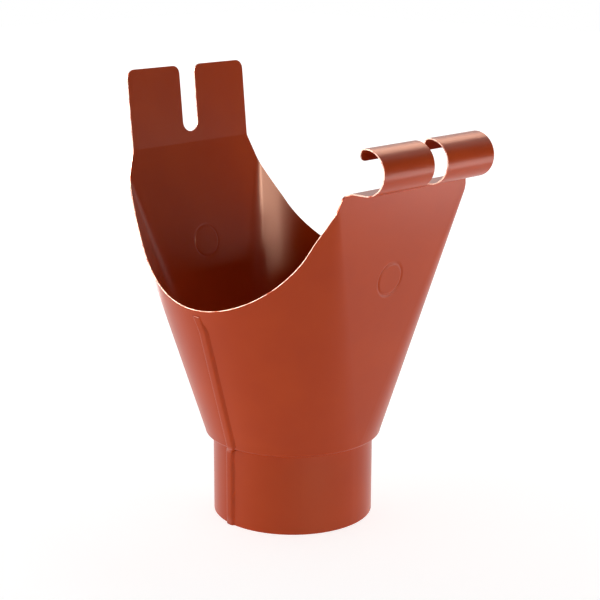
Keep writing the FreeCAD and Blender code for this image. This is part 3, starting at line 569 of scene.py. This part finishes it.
def seam_stations():
    """The lock seam from the spigot's edge up to its flattened end. Each station gives the middle of the
    wall and the seam's crown, both as (radius, level), and the place of the seam's left edge."""
    stations = []
    for level in steps(0, SEAM_BEND_FOOT, 8)[:-1]:
        stations.append(((SPIGOT_RADIUS - GAUGE / 2, level), (SEAM_CROWN, level), SEAM_SPIGOT_PLACE))
    for share in steps(0, 1, 12)[:-1]:
        place = mix(SEAM_SPIGOT_PLACE, SEAM_LOW_PLACE, share * share * (3 - 2 * share))
        stations.append((bent_line(SEAM_BEND_ROOTS, share), bent_line(SEAM_BEND_CROWNS, share), place))
    cone = math.atan(SIDE_SLOPE)
    for level in steps(SEAM_WALL_FOOT, SEAM_HIGH_LEVEL, 14) + steps(SEAM_HIGH_LEVEL, SEAM_END_LEVEL, 8)[1:]:
        flattened = max(level - SEAM_HIGH_LEVEL, 0) / (SEAM_END_LEVEL - SEAM_HIGH_LEVEL)
        flattened = flattened * flattened * (3 - 2 * flattened)
        if flattened > 0:
            place = mix(SEAM_HIGH_PLACE, SEAM_END_PLACE, flattened)
        else:
            share = (level - SEAM_WALL_FOOT) / (SEAM_HIGH_LEVEL - SEAM_WALL_FOOT)
            place = mix(SEAM_LOW_PLACE, SEAM_HIGH_PLACE, share)
        proud = mix(SEAM_PROUD, SEAM_END_PROUD, flattened)
        wall = SHOULDER_RADIUS + SIDE_SLOPE * (level - FUNNEL_LEVEL)
        root = (wall - GAUGE / 2 * math.cos(cone), level + GAUGE / 2 * math.sin(cone))
        crown = (wall + proud * math.cos(cone), level - proud * math.sin(cone))
        stations.append((root, crown, place))
    return stations


def bent_line(points, share):
    """A point of the smooth bend that runs from the first of four points to the last."""
    while len(points) > 1:
        points = [tuple(mix(a, b, share) for a, b in zip(first, second))
                  for first, second in zip(points, points[1:])]
    return points[0]


# Across the seam: distance from its left edge, and height from the middle of the wall (0) to the crown
# (1). On the right the sheet ramps up smoothly, on the left its folded edge rounds over and tucks under.
SEAM_SHAPE = ((5.9, 0.0), (5.9, 0.2), (5.55, 0.26), (5.25, 0.45), (4.95, 0.72), (4.6, 0.92), (4.2, 1.0),
              (3.2, 1.03), (2.0, 1.03), (1.1, 1.02), (0.62, 0.98), (0.28, 0.88), (0.06, 0.72), (0.0, 0.55),
              (0.08, 0.38), (0.3, 0.27), (0.7, 0.24), (0.7, 0.0))


def lock_seam():
    """The folded seam that joins the sheet's two ends down one side."""
    bm = bmesh.new()
    stations = seam_stations()

    def place(column, row):
        root, crown, left = stations[row]
        across, height = SEAM_SHAPE[column % len(SEAM_SHAPE)]
        radius = mix(root[0], crown[0], height)
        level = mix(root[1], crown[1], height)
        along_x = left + across
        return along_x, -math.sqrt(radius ** 2 - along_x ** 2), max(level, 0)

    lay_sheet(bm, len(SEAM_SHAPE), len(stations) - 1, place)
    bmesh.ops.remove_doubles(bm, verts=bm.verts, dist=0.004)
    open_edges = [edge for edge in bm.edges if edge.is_boundary]
    bmesh.ops.holes_fill(bm, edges=open_edges, sides=0)
    bmesh.ops.recalc_face_normals(bm, faces=bm.faces)
    return finish_mesh(bm, "lock_seam", (PAINT, CUT_EDGE_AND_HIGHLIGHT))


def rim_highlight_line():
    """A painted highlight along the rim on the seam's side only: a thin pale round line that stands for the
    light caught by the rim's edge.
    """
    bm = bmesh.new()
    rim = [column[-1] for column in side_columns(-1)][11:-11]

    def place(column, row):
        before, here, after = rim[max(row - 1, 0)], rim[row], rim[min(row + 1, len(rim) - 1)]
        along = (after - before).normalized()
        inward = Vector((-here.x, -here.y, 0)).normalized()
        level = (inward - inward.dot(along) * along).normalized()
        ends = min(row, len(rim) - 1 - row, 5) / 5
        radius = HIGHLIGHT_LINE_RADIUS * (0.2 + 0.8 * ends) * (0.88 + 0.12 * math.sin(row * 2.3) * math.sin(row * 0.9))
        across, up = polar(radius, 45 * column)
        return here + inward * HIGHLIGHT_LINE_RADIUS + level * across + along.cross(level) * up

    lay_sheet(bm, 8, len(rim) - 1, place)
    bmesh.ops.remove_doubles(bm, verts=bm.verts, dist=0.002)
    bmesh.ops.holes_fill(bm, edges=[edge for edge in bm.edges if edge.is_boundary], sides=0)
    bmesh.ops.recalc_face_normals(bm, faces=bm.faces)
    return finish_mesh(bm, "rim_highlight_line", (CUT_EDGE_AND_HIGHLIGHT,))


def finish_mesh(bm, name, materials):
    """Turns a mesh in millimetres into a piece in metres that rides with the outlet."""
    bmesh.ops.scale(bm, vec=(MM, MM, MM), verts=bm.verts)
    mesh = bpy.data.meshes.new(name)
    bm.to_mesh(mesh)
    bm.free()
    for polygon in mesh.polygons:
        polygon.use_smooth = True
    piece = bpy.data.objects.new(name, mesh)
    bpy.context.scene.collection.objects.link(piece)
    for material in materials:
        mesh.materials.append(material)
    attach(piece, "root")
    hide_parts("outlet_body")
    return piece


def node(tree, kind, x, y, **settings):
    """A node of a material at a place in its tree, with its settings and its plain input values."""
    made = tree.nodes.new(kind)
    made.location = x, y
    for setting, chosen in settings.items():
        if hasattr(made, setting):
            setattr(made, setting, chosen)
        else:
            made.inputs[setting.replace("_", " ")].default_value = chosen
    return made


def new_material(name):
    """An empty material with its output and its tree."""
    material = bpy.data.materials.new(name)
    material.use_nodes = True
    tree = material.node_tree
    tree.nodes.clear()
    return material, tree, node(tree, "ShaderNodeOutputMaterial", 900, 0)


def brick_red_paint():
    """Factory-coated sheet: an even brick red with a faint cloudiness and the fine skin of the paint."""
    material, tree, output = new_material("brick_red_paint")
    link = tree.links.new
    place = node(tree, "ShaderNodeTexCoord", -1000, 0)
    cloud = node(tree, "ShaderNodeTexNoise", -760, 160, Scale=26.0, Detail=3.0, Roughness=0.55)
    speck = node(tree, "ShaderNodeTexNoise", -760, -80, Scale=1400.0, Detail=2.0, Roughness=0.6)
    tone = node(tree, "ShaderNodeValToRGB", -500, 240)
    tone.color_ramp.interpolation = "EASE"
    tone.color_ramp.elements[0].position = 0.15
    tone.color_ramp.elements[0].color = (*PAINT_DARK, 1)
    tone.color_ramp.elements[1].position = 0.85
    tone.color_ramp.elements[1].color = (*PAINT_LIGHT, 1)
    skin = node(tree, "ShaderNodeBump", -260, -240, Strength=0.3, Distance=0.00001)
    shader = node(tree, "ShaderNodeBsdfPrincipled", 500, 0, Roughness=0.3,
                  Specular_IOR_Level=0.22, IOR=1.5)
    for source, target in ((place.outputs["Object"], cloud.inputs["Vector"]),
                           (place.outputs["Object"], speck.inputs["Vector"]),
                           (cloud.outputs["Fac"], tone.inputs["Fac"]),
                           (speck.outputs["Fac"], skin.inputs["Height"]),
                           (tone.outputs["Color"], shader.inputs["Base Color"]),
                           (skin.outputs["Normal"], shader.inputs["Normal"]),
                           (shader.outputs["BSDF"], output.inputs["Surface"])):
        link(source, target)
    return material


def cut_edge_and_highlight():
    """The sheared edge of the sheet: zinc grey steel between two films of paint, smeared unevenly. Its pale
    tone also paints the highlight along the near rim.
    """
    material, tree, output = new_material("cut_edge_and_highlight")
    link = tree.links.new
    place = node(tree, "ShaderNodeTexCoord", -900, 0)
    smear = node(tree, "ShaderNodeTexNoise", -680, 0, Scale=190.0, Detail=4.0, Roughness=0.65)
    tone = node(tree, "ShaderNodeValToRGB", -420, 0)
    tone.color_ramp.elements[0].position = 0.36
    tone.color_ramp.elements[0].color = (*PAINT_LIGHT, 1)
    tone.color_ramp.elements[1].position = 0.52
    tone.color_ramp.elements[1].color = (*EDGE_AND_HIGHLIGHT_COLOUR, 1)
    shader = node(tree, "ShaderNodeBsdfPrincipled", 500, 0, Roughness=0.4, Metallic=0.4)
    for source, target in ((place.outputs["Object"], smear.inputs["Vector"]),
                           (smear.outputs["Fac"], tone.inputs["Fac"]),
                           (tone.outputs["Color"], shader.inputs["Base Color"]),
                           (shader.outputs["BSDF"], output.inputs["Surface"])):
        link(source, target)
    return material


PAINT = brick_red_paint()
CUT_EDGE_AND_HIGHLIGHT = cut_edge_and_highlight()


def outlet_sheet():
    """The whole sheet: its outer skin laid in one mesh, then given its gauge and broken edges."""
    bm = bmesh.new()
    turns = lay_funnel(bm)
    lay_spigot(bm, turns)
    lay_straps(bm)
    lay_tab(bm)
    bmesh.ops.remove_doubles(bm, verts=bm.verts, dist=0.004)
    press_ring(bm, 1)
    press_ring(bm, -1)
    sheet = finish_mesh(bm, "outlet_sheet", (PAINT, CUT_EDGE_AND_HIGHLIGHT))
    wall = sheet.modifiers.new("gauge", "SOLIDIFY")
    wall.thickness = GAUGE * MM
    wall.offset = -1
    wall.use_even_offset = True
    wall.material_offset_rim = 1
    edge = sheet.modifiers.new("broken_edge", "BEVEL")
    edge.width = EDGE_ROUND * MM
    edge.segments = 3
    edge.limit_method = "ANGLE"
    edge.angle_limit = math.radians(50)
    shade = sheet.modifiers.new("even_shading", "WEIGHTED_NORMAL")
    shade.keep_sharp = True
    return sheet


def sees_background(tree, x, y):
    """1 for what the camera sees straight, in a reflection or through glass, and 0 for other light."""
    path = node(tree, "ShaderNodeLightPath", x, y)
    either = node(tree, "ShaderNodeMath", x + 200, y, operation="MAXIMUM")
    any_of = node(tree, "ShaderNodeMath", x + 400, y, operation="MAXIMUM")
    tree.links.new(path.outputs["Is Camera Ray"], either.inputs[0])
    tree.links.new(path.outputs["Is Glossy Ray"], either.inputs[1])
    tree.links.new(either.outputs[0], any_of.inputs[0])
    tree.links.new(path.outputs["Is Transmission Ray"], any_of.inputs[1])
    return any_of.outputs[0]


def stage_plane(name, size, place, material):
    """A square sheet of the studio, which isn't part of the object."""
    bm = bmesh.new()
    bmesh.ops.create_grid(bm, x_segments=1, y_segments=1, size=size / 2)
    bmesh.ops.transform(bm, matrix=place, verts=bm.verts)
    mesh = bpy.data.meshes.new(name)
    bm.to_mesh(mesh)
    bm.free()
    sheet = bpy.data.objects.new(name, mesh)
    bpy.context.scene.collection.objects.link(sheet)
    mesh.materials.append(material)
    return sheet


def pale_floor():
    """A white table top lit from below as well, so that only a soft shadow shows on it."""
    material, tree, output = new_material("pale_floor")
    surface = node(tree, "ShaderNodeBsdfDiffuse", 200, 100, Color=(0.5, 0.5, 0.5, 1))
    glow = node(tree, "ShaderNodeEmission", 200, -100, Color=(1, 1, 1, 1), Strength=FLOOR_GLOW)
    both = node(tree, "ShaderNodeAddShader", 500, 0)
    tree.links.new(surface.outputs[0], both.inputs[0])
    tree.links.new(glow.outputs[0], both.inputs[1])
    tree.links.new(both.outputs[0], output.inputs["Surface"])
    return material


def white_room():
    """The world: white where it is seen, and a weaker even light on everything."""
    world = bpy.data.worlds.new("white_room")
    bpy.context.scene.world = world
    world.use_nodes = True
    tree = world.node_tree
    tree.nodes.clear()
    output = node(tree, "ShaderNodeOutputWorld", 900, 0)
    seen = node(tree, "ShaderNodeBackground", 400, 100, Color=(1, 1, 1, 1), Strength=1.0)
    light = node(tree, "ShaderNodeBackground", 400, -100, Color=(1, 1, 1, 1), Strength=ROOM_LIGHT)
    blend = node(tree, "ShaderNodeMixShader", 650, 0)
    tree.links.new(sees_background(tree, -400, 200), blend.inputs[0])
    tree.links.new(light.outputs[0], blend.inputs[1])
    tree.links.new(seen.outputs[0], blend.inputs[2])
    tree.links.new(blend.outputs[0], output.inputs["Surface"])


def strip_lamp(name, place, width, height, watts, sheen=True, colour=(1, 1, 1)):
    """A soft strip that faces the object and adds to its sheen only, or to its plain light only. Sizes
    in metres."""
    data = bpy.data.lights.new(name, "AREA")
    data.shape = "RECTANGLE"
    data.size = width
    data.size_y = height
    data.energy = watts
    data.color = colour
    lamp = bpy.data.objects.new(name, data)
    bpy.context.scene.collection.objects.link(lamp)
    lamp.location = place
    lamp.rotation_euler = (Vector((0, 0, 0.15)) - Vector(place)).to_track_quat("-Z", "Y").to_euler()
    lamp.visible_camera = False
    lamp.visible_diffuse = not sheen
    lamp.visible_glossy = sheen
    return lamp


def flag(name, place, facing, size):
    """A dark card that keeps a part of the white room out of the reflections and isn't seen itself."""
    material, tree, output = new_material(name)
    black = node(tree, "ShaderNodeEmission", 200, 0, Color=(0, 0, 0, 1), Strength=0.0)
    tree.links.new(black.outputs[0], output.inputs["Surface"])
    turn = Vector(facing).to_track_quat("Z", "Y").to_matrix().to_4x4()
    card = stage_plane(name, size, Matrix.Translation(place) @ turn, material)
    card.visible_camera = False
    card.visible_transmission = False
    return card


def studio():
    """A pale floor, soft light all round and the camera at the photograph's angle."""
    stage_plane("floor", 6, Matrix.Identity(4), pale_floor())
    white_room()
    strip_lamp("right_strip", (1.27, -0.277, 0.46), 0.32, 0.5, 125.0, colour=WARM)
    strip_lamp("front_strip", (1.075, -0.655, 0.58), 0.16, 0.35, 22.0, colour=WARM)
    strip_lamp("back_strip", (-0.36, 0.79, 0.95), 0.9, 0.45, 11.0, colour=WARM)
    strip_lamp("low_left", (-0.34, -0.68, 0.08), 0.6, 0.16, 1.7, sheen=False)
    strip_lamp("low_right", (0.65, 0.38, 0.08), 0.6, 0.16, 1.6, sheen=False)
    strip_lamp("rim_strip", (-0.8, -0.78, 0.6), 1.0, 0.5, 30.0, colour=PALE)
    strip_lamp("right_table", (0.36, 0.30, 0.015), 0.3, 0.25, 1.0)
    strip_lamp("left_table", (-0.38, 0.05, 0.01), 0.35, 0.3, 0.9)
    flag("dark_side", (1.5, 1.2, 0.75), (-1, -1, 0), 1.7)
    flag("dark_far_table", (1.35, 1.2, 0.004), (0, 0, 1), 1.7)
    flag("dark_camera_side", (1.1, -1.3, 1.5), (-0.7, 0.8, 0), 3.0)
    flag("dark_ceiling", (0.5, -0.5, 1.1), (0, 0, -1), 1.7)
    bpy.context.scene.view_settings.view_transform = "Standard"

    data = bpy.data.cameras.new("camera")
    camera = bpy.data.objects.new("camera", data)
    bpy.context.scene.collection.objects.link(camera)
    data.sensor_width = SENSOR_WIDTH
    data.lens = FOCAL_PIXELS * SENSOR_WIDTH / PHOTO_WIDTH
    data.clip_start = 0.05
    data.clip_end = 20
    azimuth, elevation = math.radians(CAMERA_AZIMUTH), math.radians(CAMERA_ELEVATION)
    back = Vector((math.sin(azimuth) * math.cos(elevation), -math.cos(azimuth) * math.cos(elevation),
                   math.sin(elevation)))
    right = Vector((math.cos(azimuth), math.sin(azimuth), 0))
    up = back.cross(right)
    turn = Matrix((right, up, back)).transposed().to_4x4()
    place = Matrix.Translation(Vector(CAMERA_PLACE) * MM)
    camera.matrix_world = place @ turn @ Matrix.Rotation(math.radians(CAMERA_ROLL), 4, "Z")
    bpy.context.scene.camera = camera


outlet_sheet()
lock_seam()
# The pale line along the near rim is a painted highlight.
rim_highlight_line()
studio()
